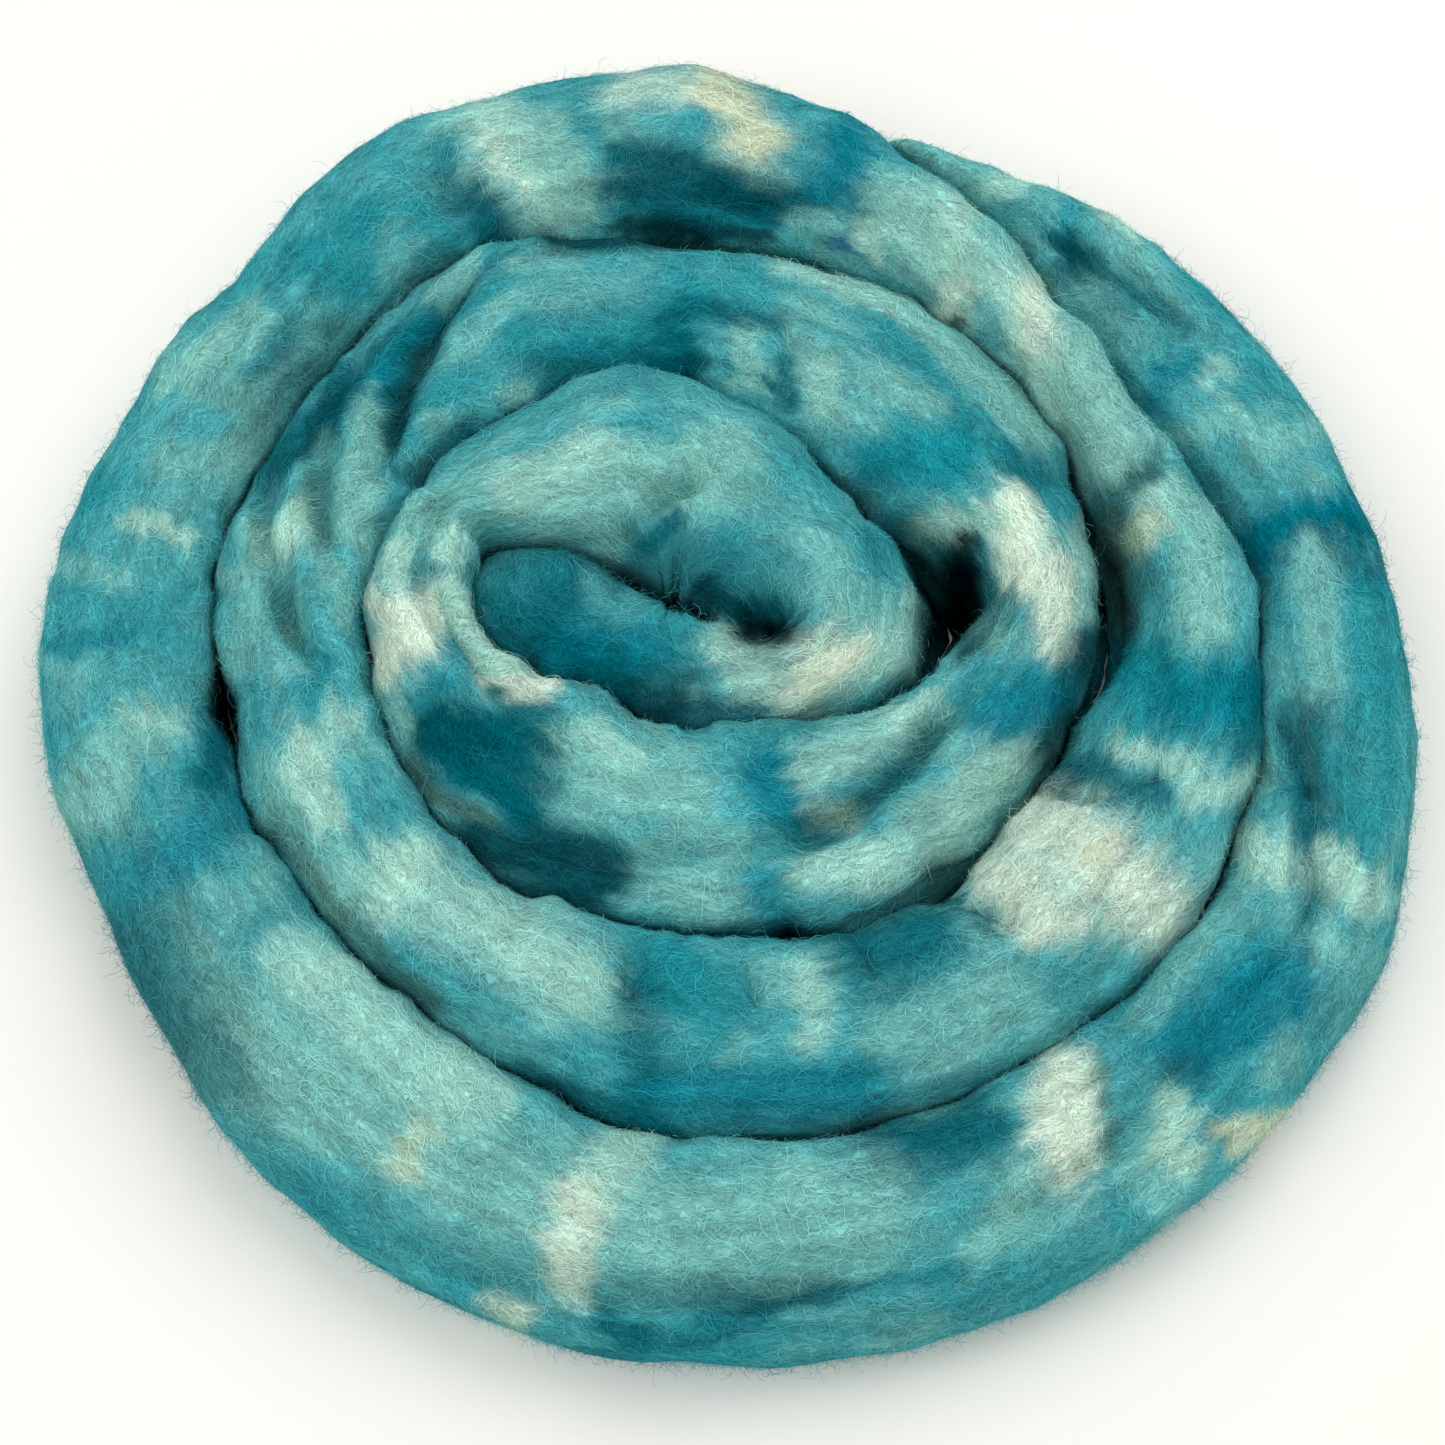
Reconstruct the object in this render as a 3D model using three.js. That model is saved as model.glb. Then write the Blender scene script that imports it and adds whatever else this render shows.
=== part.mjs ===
// Wool combed top wound into a flat coil: one thick, soft, uncut strand that runs clockwise from a tucked
// outer end, four turns inwards, to a tucked inner end. It lies on its flat underside.
// Millimetres, +Z up. The origin is the middle of the underside. +X is to the right, at three o'clock.
import * as THREE from 'three';

// Driving dimensions
const HOURS = 12;
const START_HOUR = 0.72;
const END_HOUR = 45.95;
const CLEARANCE = 0.6;

// Steps of the mesh: rings in each hour of each turn, points over the top of a ring, and the least step
// between the last two rings, in hours
const RINGS_PER_HOUR = [6, 8, 6, 5];
const TOP_POINTS = 15;
const LAST_STEP = 0.02;

// Places along the strand are hours on a clock face that keeps counting: 1 to 12 is the outer turn, 13 to 24
// the second turn, and so on inwards. Radii are plan distances from the coil's eye.

// Where a turn meets the one outside it. The first row is the outline of the coil. At any hour the strand
// fills the space between its own row and the row below.
const SEAMS = [
  //                   1h   2h   3h   4h   5h   6h   7h   8h   9h  10h  11h  12h
  { line: 'outline', radius: [163, 179, 188, 202, 203, 196, 182, 165, 164, 158, 166, 168] },
  { line: 'turn 2', radius: [149, 137, 152, 156, 152, 145, 126, 122, 120, 117, 119, 111] },
  { line: 'turn 3', radius: [113, 113, 115, 106, 102, 92, 88, 81, 79, 74, 70, 64] },
  { line: 'turn 4', radius: [57, 57, 73, 60, 41, 36, 33, 42, 52, 24, 4, 3] },
  { line: 'eye', radius: [3, 3, 5, 13, 6, 4, 3, 3, 5, 9, 9, 9] },
];

// The radius of the outline where the strand's outer end slips under the turn inside it
const START_RADIUS = 150;

// Height of the strand's crown above the surface it lies on, and of the line where its side meets its
// neighbour, every three hours. On the outline that line is the widest part of the free side.
const HEIGHTS = [
  //                  3h  6h  9h  12h       3h  6h  9h  12h
  { line: 'turn 1', crown: [36, 38, 38, 43], side: [15, 16, 16, 17] },
  { line: 'turn 2', crown: [38, 38, 37, 35], side: [20, 22, 21, 20] },
  { line: 'turn 3', crown: [40, 37, 39, 43], side: [15, 21, 21, 25] },
  { line: 'turn 4', crown: [41, 35, 32, 30], side: [13, 23, 22, 24] },
  { line: 'eye', crown: [30, 30, 30, 30], side: [22, 22, 22, 22] },
];
const START_CROWN = 25;
const START_SIDE = 12;

// Places where a seam swings in or out more sharply than its row says
const SWINGS = [
  { hour: 10.35, by: -4, reach: 0.3 },
  { hour: 14.2, by: -2.5, reach: 0.35 },
  { hour: 20.45, by: -3, reach: 0.25 },
  { hour: 23.05, by: 3, reach: 0.25 },
  { hour: 45.6, by: 14, reach: 0.28 },
  { hour: 16.0, by: 1.5, reach: 0.3 },
];

// Places where two neighbouring turns part and leave a dark pit, deeper than the seam
const PITS = [
  { hour: 38.95, opening: 4.6, reach: 0.5, drop: 8 },
  { hour: 26.95, opening: 3.4, reach: 0.55, drop: 6 },
  { hour: 28.62, opening: 3.2, reach: 0.14, drop: 6 },
  { hour: 20.5, opening: 2.6, reach: 0.22, drop: 5 },
  { hour: 29.4, opening: 1.6, reach: 0.14, drop: 5 },
];

// Folds of the strand on itself: troughs that run from one hour and radius to another
const FOLDS = [
  { from: 1.45, to: 2.1, radiusFrom: 151, radiusTo: 162, depth: 6, breadth: 7 },
  { from: 2.9, to: 4.9, radiusFrom: 176, radiusTo: 186, depth: 3, breadth: 8 },
  { from: 4.3, to: 5.3, radiusFrom: 176, radiusTo: 188, depth: 7, breadth: 9 },
  { from: 5.2, to: 7.0, radiusFrom: 188, radiusTo: 183, depth: 10, breadth: 9 },
  { from: 9.6, to: 10.7, radiusFrom: 128, radiusTo: 146, depth: 4, breadth: 7 },
  { from: 11.5, to: 12.75, radiusFrom: 121, radiusTo: 121, depth: 11, breadth: 13 },
  { from: 12.55, to: 13.4, radiusFrom: 122, radiusTo: 124, depth: 4, breadth: 8 },
  { from: 15.1, to: 15.9, radiusFrom: 121, radiusTo: 134, depth: 5, breadth: 7 },
  { from: 17.2, to: 18.4, radiusFrom: 122, radiusTo: 112, depth: 3, breadth: 8 },
  { from: 20.3, to: 21.85, radiusFrom: 88, radiusTo: 119, depth: 9, breadth: 8 },
  { from: 20.95, to: 22.55, radiusFrom: 84, radiusTo: 118, depth: 9, breadth: 8 },
  { from: 21.6, to: 23.3, radiusFrom: 78, radiusTo: 115, depth: 13, breadth: 9 },
  { from: 24.2, to: 26.2, radiusFrom: 92, radiusTo: 88, depth: 3, breadth: 10 },
  { from: 27.6, to: 29.6, radiusFrom: 79, radiusTo: 77, depth: 11, breadth: 9 },
  { from: 29.6, to: 31.2, radiusFrom: 77, radiusTo: 78, depth: 7, breadth: 9 },
  { from: 31.7, to: 33.2, radiusFrom: 53, radiusTo: 62, depth: 9, breadth: 7 },
  { from: 33.2, to: 34.6, radiusFrom: 62, radiusTo: 68, depth: 5, breadth: 7 },
  { from: 34.0, to: 35.0, radiusFrom: 19, radiusTo: 18, depth: 10, breadth: 8 },
  { from: 35.0, to: 36.8, radiusFrom: 18, radiusTo: 28, depth: 8, breadth: 8 },
  { from: 36.8, to: 38.4, radiusFrom: 28, radiusTo: 34, depth: 4, breadth: 9 },
  { from: 42.8, to: 45.2, radiusFrom: 25, radiusTo: 36, depth: 3, breadth: 8 },
];

// The share of a fold's length over which it runs out at each end
const FOLD_RUN_OUT = 0.25;

// Single lumps, and with a negative height dimples, in the top of the strand
const LUMPS = [
  { hour: 13.4, radius: 116, reach: 7, height: -12 },
  { hour: 13.9, radius: 122, reach: 11, height: 4 },
  { hour: 15.9, radius: 112, reach: 8, height: -9 },
  { hour: 16.3, radius: 128, reach: 17, height: 4 },
  { hour: 3.55, radius: 160, reach: 9, height: -5 },
  { hour: 4.8, radius: 158, reach: 9, height: -4 },
  { hour: 18.6, radius: 100, reach: 12, height: 3 },
  { hour: 32.6, radius: 70, reach: 12, height: 3 },
  { hour: 35.0, radius: 46, reach: 24, height: 3 },
  { hour: 40.0, radius: 40, reach: 12, height: 3 },
  { hour: 39.8, radius: 24, reach: 9, height: -15 },
];

// Slow swelling of the strand, as long low waves that cross the coil at several bearings
const SWELLS = [
  { height: 0.9, length: 47, bearing: 0.4, phase: 0.4 },
  { height: 0.7, length: 33, bearing: 2.1, phase: 1.9 },
  { height: 0.6, length: 61, bearing: 1.2, phase: 3.3 },
];

// Roundness of the crown, how far the two kinds of side draw in under the strand, and where the outer side
// of the strand passes from free to pressed against its own outer end. A fold leaves at least a share of the
// side's height.
const CROWN_POWER = 2.4;
const PRESSED_SIDE = { shoulder: 0, shoulderHeight: 0.16, foot: 3 };
const FREE_SIDE = { shoulder: 3.5, shoulderHeight: 0.36, foot: 11 };
const FREE_UNTIL = 12.35;
const PRESSED_FROM = 12.95;
const LOWEST_SHARE = 0.6;
const FOOT_WIDTH_SHARE = 0.67;

// Lengths, in hours, over which the two ends of the strand round off, and their height at the tip
const START_ROUNDING = 0.3;
const END_ROUNDING = 0.8;
const TIP_WIDTH = 0.12;
const TIP_HEIGHT = 0.55;

const RADIANS_PER_HOUR = (2 * Math.PI) / HOURS;
const LEAN_STEP = 0.02;

// A smooth line through values at even steps that never swings past them
function smoothLine(firstPlace, step, values) {
  const rise = values.slice(1).map((value, i) => (value - values[i]) / step);
  const slope = values.map((_, i) => {
    const before = rise[Math.max(i - 1, 0)];
    const after = rise[Math.min(i, rise.length - 1)];
    return before * after > 0 ? (2 * before * after) / (before + after) : 0;
  });
  return (place) => {
    const along = THREE.MathUtils.clamp((place - firstPlace) / step, 0, values.length - 1.0001);
    const i = Math.floor(along);
    const f = along - i;
    const ease = f * f * (3 - 2 * f);
    const curveIn = f * (1 - f) * (1 - f) * step * slope[i];
    const curveOut = f * f * (f - 1) * step * slope[i + 1];
    return values[i] + ease * (values[i + 1] - values[i]) + curveIn + curveOut;
  };
}

const bell = (distance, reach) => Math.exp(-((distance / reach) ** 2));

const seamRow = smoothLine(0, 1, [START_RADIUS, ...SEAMS.flatMap((row) => row.radius)]);
const crownLine = smoothLine(0, 3, [START_CROWN, ...HEIGHTS.flatMap((row) => row.crown)]);
const sideLine = smoothLine(0, 3, [START_SIDE, ...HEIGHTS.flatMap((row) => row.side)]);

function seamRadius(hour) {
  const swing = SWINGS.reduce((sum, s) => sum + s.by * bell(hour - s.hour, s.reach), 0);
  return seamRow(hour) + swing;
}

// Half the space between two turns, which is even when measured square to the seam
function halfSpace(hour) {
  const climb = seamRadius(hour + LEAN_STEP) - seamRadius(hour - LEAN_STEP);
  const lean = climb / (2 * LEAN_STEP * seamRadius(hour) * RADIANS_PER_HOUR);
  return (CLEARANCE / 2) * Math.hypot(1, lean);
}

// What the pits add at one place on a seam, as an opening or as a drop
const pitAt = (hour, key) => PITS.reduce((sum, p) => sum + p[key] * bell(hour - p.hour, p.reach), 0);

const sideHeight = (hour) => sideLine(hour) - pitAt(hour, 'drop');

// 1 where the outer side of the strand is free, 0 where it presses on the turn outside it
function freedom(hour) {
  return 1 - THREE.MathUtils.smoothstep(hour, FREE_UNTIL, PRESSED_FROM);
}

// What folds, lumps and swells add to the height of the top at one place
function relief(hour, radius) {
  let height = 0;
  for (const fold of FOLDS) {
    const along = (hour - fold.from) / (fold.to - fold.from);
    if (along < 0 || along > 1) continue;
    const middle = THREE.MathUtils.lerp(fold.radiusFrom, fold.radiusTo, along);
    const ends = Math.min(1, along / FOLD_RUN_OUT, (1 - along) / FOLD_RUN_OUT);
    height -= fold.depth * ends * bell(radius - middle, fold.breadth / 2);
  }
  for (const lump of LUMPS) {
    const apart = Math.hypot(radius - lump.radius, lump.radius * RADIANS_PER_HOUR * (hour - lump.hour));
    height += lump.height * bell(apart, lump.reach);
  }
  for (const swell of SWELLS) {
    const run = radius * Math.cos(hour * RADIANS_PER_HOUR - swell.bearing);
    height += swell.height * Math.sin((2 * Math.PI * run) / swell.length + swell.phase);
  }
  return height;
}

// How much of its width the strand has this near to one of its ends, from the tip's share to 1
function endWidth(hour) {
  const fromStart = THREE.MathUtils.clamp((hour - START_HOUR) / START_ROUNDING, 0, 1);
  const fromEnd = THREE.MathUtils.clamp((END_HOUR - hour) / END_ROUNDING, 0, 1);
  const near = Math.min(fromStart, fromEnd);
  return TIP_WIDTH + (1 - TIP_WIDTH) * Math.sqrt(1 - (1 - near) ** 2);
}

// One ring of the strand: [radius, height] points over the top from the inner side to the outer one, down
// the outer side to the floor, and back along the floor to the inner side
function ring(hour) {
  const width = endWidth(hour);
  const shrink = TIP_HEIGHT + (1 - TIP_HEIGHT) * width;
  const outerEdge = seamRadius(hour) - halfSpace(hour);
  const innerEdge = seamRadius(hour + HOURS) + halfSpace(hour + HOURS);
  const middle = (outerEdge + innerEdge) / 2;
  const half = ((outerEdge - innerEdge) / 2) * width;
  const pits = [pitAt(hour + HOURS, 'opening'), pitAt(hour, 'opening')];
  const crown = crownLine(hour) * shrink;
  const sides = [sideHeight(hour + HOURS) * shrink, sideHeight(hour) * shrink];
  const free = [0, freedom(hour)];

  const points = [];
  for (let i = 0; i < TOP_POINTS; i += 1) {
    const across = -Math.cos((Math.PI * i) / (TOP_POINTS - 1));
    const outwards = (across + 1) / 2;
    const base = THREE.MathUtils.lerp(sides[0], sides[1], outwards);
    const arch = Math.sqrt(1 - Math.abs(across) ** CROWN_POWER);
    const radius = middle + half * across + THREE.MathUtils.lerp(pits[0], -pits[1], outwards);
    const top = base + (crown - base + relief(hour, radius)) * arch;
    points.push([radius, Math.max(top, base * LOWEST_SHARE)]);
  }
  const lower = [];
  for (const side of [1, 0]) {
    const outward = side === 1 ? 1 : -1;
    const draw = (key) => THREE.MathUtils.lerp(PRESSED_SIDE[key], FREE_SIDE[key], free[side]);
    const reach = Math.min(1, (half * FOOT_WIDTH_SHARE) / FREE_SIDE.foot);
    const shoulder = [middle + outward * (half - draw('shoulder') * reach), sides[side] * draw('shoulderHeight')];
    const foot = [middle + outward * (half - draw('foot') * reach), 0];
    lower.push(...(side === 1 ? [shoulder, foot] : [foot, shoulder]));
  }
  return [...points, ...lower];
}

// The hours at which the strand has a ring, closer together in the outer turns
function ringHours() {
  const hours = [];
  for (let hour = START_HOUR; hour < END_HOUR - LAST_STEP;) {
    hours.push(hour);
    hour += 1 / RINGS_PER_HOUR[Math.floor((hour - START_HOUR) / HOURS)];
  }
  hours.push(END_HOUR);
  return hours;
}

// A closed skin over the rings, with a fan over each end
function strandGeometry() {
  const rings = ringHours().map((hour) => ring(hour).map(([radius, height]) => {
    const angle = hour * RADIANS_PER_HOUR;
    return new THREE.Vector3(radius * Math.sin(angle), radius * Math.cos(angle), height);
  }));
  const around = rings[0].length;
  const vertices = rings.flat();
  const triangles = [];
  for (let i = 0; i < rings.length - 1; i += 1) {
    for (let j = 0; j < around; j += 1) {
      const a = i * around + j;
      const b = i * around + ((j + 1) % around);
      triangles.push(a, a + around, b + around, a, b + around, b);
    }
  }
  for (const [first, turn] of [[0, 1], [(rings.length - 1) * around, -1]]) {
    const hub = vertices.length;
    const sum = vertices.slice(first, first + around).reduce((total, v) => total.add(v), new THREE.Vector3());
    vertices.push(sum.divideScalar(around));
    for (let j = 0; j < around; j += 1) {
      const a = first + j;
      const b = first + ((j + 1) % around);
      triangles.push(...(turn === 1 ? [hub, a, b] : [hub, b, a]));
    }
  }
  const geometry = new THREE.BufferGeometry();
  geometry.setAttribute('position', new THREE.Float32BufferAttribute(vertices.flatMap((v) => v.toArray()), 3));
  geometry.setIndex(triangles);
  geometry.computeBoundingBox();
  const middle = geometry.boundingBox.getCenter(new THREE.Vector3());
  geometry.translate(-middle.x, -middle.y, 0);
  return geometry;
}

const wool = new THREE.MeshStandardMaterial({ color: '#4fa3a8', roughness: 0.95, metalness: 0 });
const strand = new THREE.Mesh(strandGeometry(), wool);
strand.name = 'combed_top';

const coil = new THREE.Group();
coil.add(strand);

export default coil;
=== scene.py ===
import math

import bpy
import numpy as np
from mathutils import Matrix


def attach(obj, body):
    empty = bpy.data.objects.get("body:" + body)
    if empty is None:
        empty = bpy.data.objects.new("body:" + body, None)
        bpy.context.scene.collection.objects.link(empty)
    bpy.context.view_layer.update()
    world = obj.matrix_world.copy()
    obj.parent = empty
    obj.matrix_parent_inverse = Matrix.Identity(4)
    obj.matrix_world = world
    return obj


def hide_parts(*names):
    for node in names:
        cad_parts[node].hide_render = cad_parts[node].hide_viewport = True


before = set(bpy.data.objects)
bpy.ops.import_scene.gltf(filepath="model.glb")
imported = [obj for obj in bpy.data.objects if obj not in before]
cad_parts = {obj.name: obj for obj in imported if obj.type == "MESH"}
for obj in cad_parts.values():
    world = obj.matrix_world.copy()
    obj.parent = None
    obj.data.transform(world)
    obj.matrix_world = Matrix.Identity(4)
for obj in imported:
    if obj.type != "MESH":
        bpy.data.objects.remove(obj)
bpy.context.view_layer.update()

# The object is one strand of dyed combed wool, wound flat. Lengths are millimetres until a mesh is made.
METRES = 0.001
HOURS = 12
HOUR = 2 * math.pi / HOURS

# The strand's ends, and the space left between its turns. Places along it are hours on a clock face that
# keeps counting inwards: 1 to 12 is the outer turn, 13 to 24 the second turn, and so on.
START_HOUR = 0.72
END_HOUR = 45.95
CLEARANCE = 0.3

# Plan radius, from the coil's eye, of the line where each turn meets the one outside it, hour by hour
START_RADIUS = 150
SEAMS = {
    #            1h   2h   3h   4h   5h   6h   7h   8h   9h  10h  11h  12h
    "outline": (163, 179, 188, 202, 203, 196, 182, 165, 164, 158, 166, 168),
    "turn 2": (149, 137, 152, 156, 152, 145, 126, 122, 120, 117, 119, 111),
    "turn 3": (113, 113, 115, 106, 102, 92, 88, 81, 79, 74, 70, 64),
    "turn 4": (57, 57, 73, 60, 41, 36, 33, 42, 52, 24, 4, 3),
    "eye": (3, 3, 5, 13, 6, 4, 3, 3, 5, 9, 9, 9),
}

# Height of the crown, and of the line where the side meets its neighbour, at 3h, 6h, 9h and 12h
START_CROWN, START_SIDE = 25, 12
CROWNS = {"turn 1": (36, 38, 38, 43), "turn 2": (38, 38, 37, 35), "turn 3": (40, 37, 39, 43),
          "turn 4": (41, 35, 32, 30), "eye": (30, 30, 30, 30)}
SIDES = {"turn 1": (15, 16, 16, 17), "turn 2": (20, 22, 21, 20), "turn 3": (15, 21, 21, 25),
         "turn 4": (13, 23, 22, 24), "eye": (22, 22, 22, 22)}

# How far the soft edge of a turn wanders either side of its seam line, and the share of it on the outline
SEAM_WANDER, OUTLINE_WANDER = 1.2, 0.4

# Sharper swings of a seam: hour, how far outwards, reach in hours
SWINGS = ((10.35, -4, 0.3), (14.2, -2.5, 0.35), (20.45, -3, 0.25), (23.05, 3, 0.25),
          (45.6, 14, 0.28), (16.0, 1.5, 0.3))

# Dark pits between two turns: hour, opening of each side, reach in hours, drop of the side line
PITS = ((38.95, 4.6, 0.5, 8), (26.95, 3.4, 0.55, 6), (28.62, 3.2, 0.14, 6), (20.5, 2.6, 0.22, 5),
        (29.4, 1.6, 0.14, 5))

# Folds of the strand on itself: from hour, to hour, from radius, to radius, depth, breadth
FOLDS = (
    (1.45, 2.1, 151, 162, 6, 7),
    (2.9, 4.9, 176, 186, 3, 8),
    (4.3, 5.3, 176, 188, 7, 9),
    (5.2, 7.0, 188, 183, 10, 9),
    (9.6, 10.7, 128, 146, 4, 7),
    (11.5, 12.75, 121, 121, 11, 13),
    (12.55, 13.4, 122, 124, 4, 8),
    (15.1, 15.9, 121, 134, 5, 7),
    (17.2, 18.4, 122, 112, 3, 8),
    (20.3, 21.85, 88, 119, 9, 8),
    (20.95, 22.55, 84, 118, 9, 8),
    (21.6, 23.3, 78, 115, 13, 9),
    (24.2, 26.2, 92, 88, 3, 10),
    (27.6, 29.6, 79, 77, 11, 9),
    (29.6, 31.2, 77, 78, 7, 9),
    (31.7, 33.2, 53, 62, 9, 7),
    (33.2, 34.6, 62, 68, 5, 7),
    (34.0, 35.0, 19, 18, 10, 8),
    (35.0, 36.8, 18, 28, 8, 8),
    (36.8, 38.4, 28, 34, 4, 9),
    (42.8, 45.2, 25, 36, 3, 8),
)
FOLD_RUN_OUT = 0.25

# Lumps, and with a negative height dimples: hour, radius, reach, height
LUMPS = ((13.4, 116, 7, -12), (13.9, 122, 11, 4), (15.9, 112, 8, -9), (16.3, 128, 17, 4), (3.55, 160, 9, -5),
         (4.8, 158, 9, -4), (18.6, 100, 12, 3), (32.6, 70, 12, 3), (35.0, 46, 24, 3), (40.0, 40, 12, 3),
         (39.8, 24, 9, -15))

# Slow swelling, as long low waves across the coil: height, length, bearing, phase
SWELLS = ((0.9, 47, 0.4, 0.4), (0.7, 33, 2.1, 1.9), (0.6, 61, 1.2, 3.3))

# Roundness of the crown, and the lowest that a fold cuts, as a share of the side lines' height
CROWN_POWER = 2.15
LOWEST_SHARE = 0.6
# How far a side draws in at its foot, pressed and free, less where that is more than this share of the half
# width; and the hours between which the outer side stops being free
PRESSED_FOOT, FREE_FOOT = 0.4, 11
FOOT_WIDTH_SHARE = 0.67
FREE_UNTIL, PRESSED_FROM = 12.35, 12.95
# The share of a side, from its top, down to which a pit opens it
PIT_SHARE = 0.6
# The ends: hours over which each rounds off, and the tip's share of the full width and height
START_ROUNDING, END_ROUNDING = 0.3, 0.8
TIP_WIDTH, TIP_HEIGHT = 0.12, 0.55
# Hours either side between which a seam's slant is measured
LEAN_STEP = 0.02

# Mesh steps: rings along the strand, and points over the top, down each side and under it. Length is measured
# along the strand's middle, or this radius where that is nearer the eye.
RINGS = 1120
TOP_POINTS, OUTER_POINTS, UNDER_POINTS, INNER_POINTS = 58, 10, 4, 8
LEAST_TURN = 40

# Clouds of noise here and below are rows of height, length along the strand and breadth round it. These push
# the wool out in soft locks and lumps.
LOCKS = ((0.7, 30, 6), (0.4, 12, 3))
SOFT_LUMPS = ((1.9, 22, 15), (1.1, 8, 7))
# The share of the lumps on upright sides, the upward part of a normal from which they are whole, and the
# heights between which locks and lumps fade in above the floor
SIDE_LUMPS, LEVEL_FROM = 0.4, 0.6
LUMPS_ABOVE = (1, 12)

# Creases and small dimples that only the visual model has: from hour, from radius, to hour, to radius, depth,
# breadth. A negative depth is a ridge.
CREASES = (
    (1.50, 152, 1.64, 144, 3, 8),
    (1.60, 149, 2.00, 156, 3, 5),
    (3.46, 160, 3.66, 170, 6, 6),
    (3.66, 170, 3.95, 181, 3, 5),
    (3.95, 181, 4.25, 191, 2, 5),
    (4.92, 182, 4.72, 160, 2, 4),
    (4.52, 192, 4.62, 200, 2, 5),
    (9.76, 140, 9.82, 116, 3, 7),
    (10.20, 128, 10.44, 114, 4, 7),
    (11.08, 140, 11.14, 112, 7, 11),
    (11.72, 128, 11.68, 114, 4, 6),
    (12.78, 126, 12.92, 110, 3, 5),
    (13.22, 120, 13.24, 108, 2, 4),
    (14.46, 134, 14.64, 114, 6, 7),
    (15.80, 138, 15.98, 122, 4, 6),
    (16.62, 126, 16.74, 108, 6, 6),
    (16.00, 120, 15.98, 106, 5, 5),
    (17.18, 118, 17.16, 104, 4, 5),
    (17.66, 116, 17.68, 100, 4, 5),
    (18.16, 112, 18.14, 96, 4, 5),
    (18.70, 106, 18.72, 94, 3, 5),
    (18.08, 126, 18.40, 120, 3, 7),
    (24.78, 78, 24.94, 60, 3, 6),
    (24.30, 84, 24.66, 86, 3, 7),
    (27.02, 104, 27.08, 92, 2, 5),
    (26.66, 80, 26.72, 66, 3, 6),
    (41.80, 16, 41.20, 40, 3, 8),
    (44.60, 44, 43.60, 42, 2, 6),
)

# Dyes, as the eye sees them on the wool. Black and umber are not dyes: they are the colours of painted shade in
# pits, seams, creases and dimples. Ivory is cream with a painted highlight.
DYES = {
    "teal": "#50ACB2",
    "light": "#8BCCC3",
    "mint": "#AEE0D2",
    "cream": "#D9EEDD",
    "ivory_painted_highlight": "#E9FBE6",
    "beige": "#D6E2C4",
    "mid": "#1B929F",
    "blue": "#048093",
    "deep": "#006471",
    "dark": "#00434D",
    "painted_shade_black": "#00141A",
    "painted_shade_umber": "#486B62",
    "violet": "#2A6C9C",
}
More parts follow.
